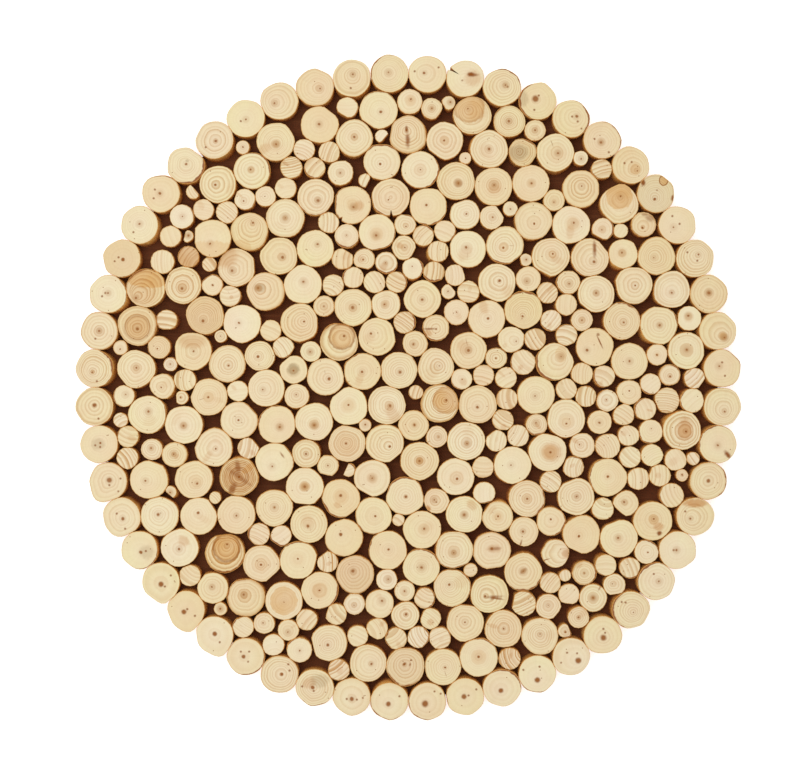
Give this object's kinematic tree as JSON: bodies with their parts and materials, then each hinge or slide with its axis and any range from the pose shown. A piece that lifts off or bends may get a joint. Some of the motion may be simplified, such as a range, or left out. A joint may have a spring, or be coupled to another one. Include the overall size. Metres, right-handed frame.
{
  "type": "round wood slice panel",
  "caption": "Round decorative panel of pale cut wood slices standing on end, close together, on a dark stained backing board.",
  "frame": {"origin": "middle of the backing board's flat underside", "axes": "+Z out of the panel, from the board to the cut faces; +Y up the panel as pictured, +X to its right"},
  "size_m": [0.5993, 0.5997, 0.025],
  "materials": {
    "peeled_pole_wood": "sanded cut faces, bare",
    "stained_plywood": "dark brown stain, matt"
  },
  "bodies": {
    "root": {"backing_board": "stained_plywood", "field_slices_01": "peeled_pole_wood", "field_slices_02": "peeled_pole_wood", "field_slices_03": "peeled_pole_wood", "field_slices_04": "peeled_pole_wood", "field_slices_05": "peeled_pole_wood", "field_slices_06": "peeled_pole_wood", "field_slices_07": "peeled_pole_wood", "field_slices_08": "peeled_pole_wood", "field_slices_09": "peeled_pole_wood", "field_slices_10": "peeled_pole_wood", "field_slices_11": "peeled_pole_wood", "field_slices_12": "peeled_pole_wood", "field_slices_13": "peeled_pole_wood", "field_slices_14": "peeled_pole_wood", "field_slices_15": "peeled_pole_wood", "field_slices_16": "peeled_pole_wood", "field_slices_17": "peeled_pole_wood", "field_slices_18": "peeled_pole_wood", "field_slices_19": "peeled_pole_wood", "field_slices_20": "peeled_pole_wood", "field_slices_21": "peeled_pole_wood", "field_slices_22": "peeled_pole_wood", "field_slices_23": "peeled_pole_wood", "field_slices_24": "peeled_pole_wood", "field_slices_25": "peeled_pole_wood", "field_slices_26": "peeled_pole_wood", "field_slices_27": "peeled_pole_wood", "field_slices_28": "peeled_pole_wood", "field_slices_29": "peeled_pole_wood", "field_slices_30": "peeled_pole_wood", "field_slices_31": "peeled_pole_wood", "field_slices_32": "peeled_pole_wood", "field_slices_33": "peeled_pole_wood", "field_slices_34": "peeled_pole_wood", "field_slices_35": "peeled_pole_wood", "field_slices_36": "peeled_pole_wood", "field_slices_37": "peeled_pole_wood", "field_slices_38": "peeled_pole_wood", "field_slices_39": "peeled_pole_wood", "field_slices_40": "peeled_pole_wood", "field_slices_41": "peeled_pole_wood", "field_slices_42": "peeled_pole_wood", "field_slices_43": "peeled_pole_wood", "field_slices_44": "peeled_pole_wood", "field_slices_45": "peeled_pole_wood", "field_slices_46": "peeled_pole_wood", "field_slices_47": "peeled_pole_wood", "field_slices_48": "peeled_pole_wood", "field_slices_49": "peeled_pole_wood", "field_slices_50": "peeled_pole_wood", "field_slices_51": "peeled_pole_wood", "rim_slices_1": "peeled_pole_wood", "rim_slices_2": "peeled_pole_wood", "rim_slices_3": "peeled_pole_wood", "rim_slices_4": "peeled_pole_wood", "rim_slices_5": "peeled_pole_wood", "rim_slices_6": "peeled_pole_wood", "rim_slices_7": "peeled_pole_wood", "rim_slices_8": "peeled_pole_wood"}
  },
  "joints": []
}
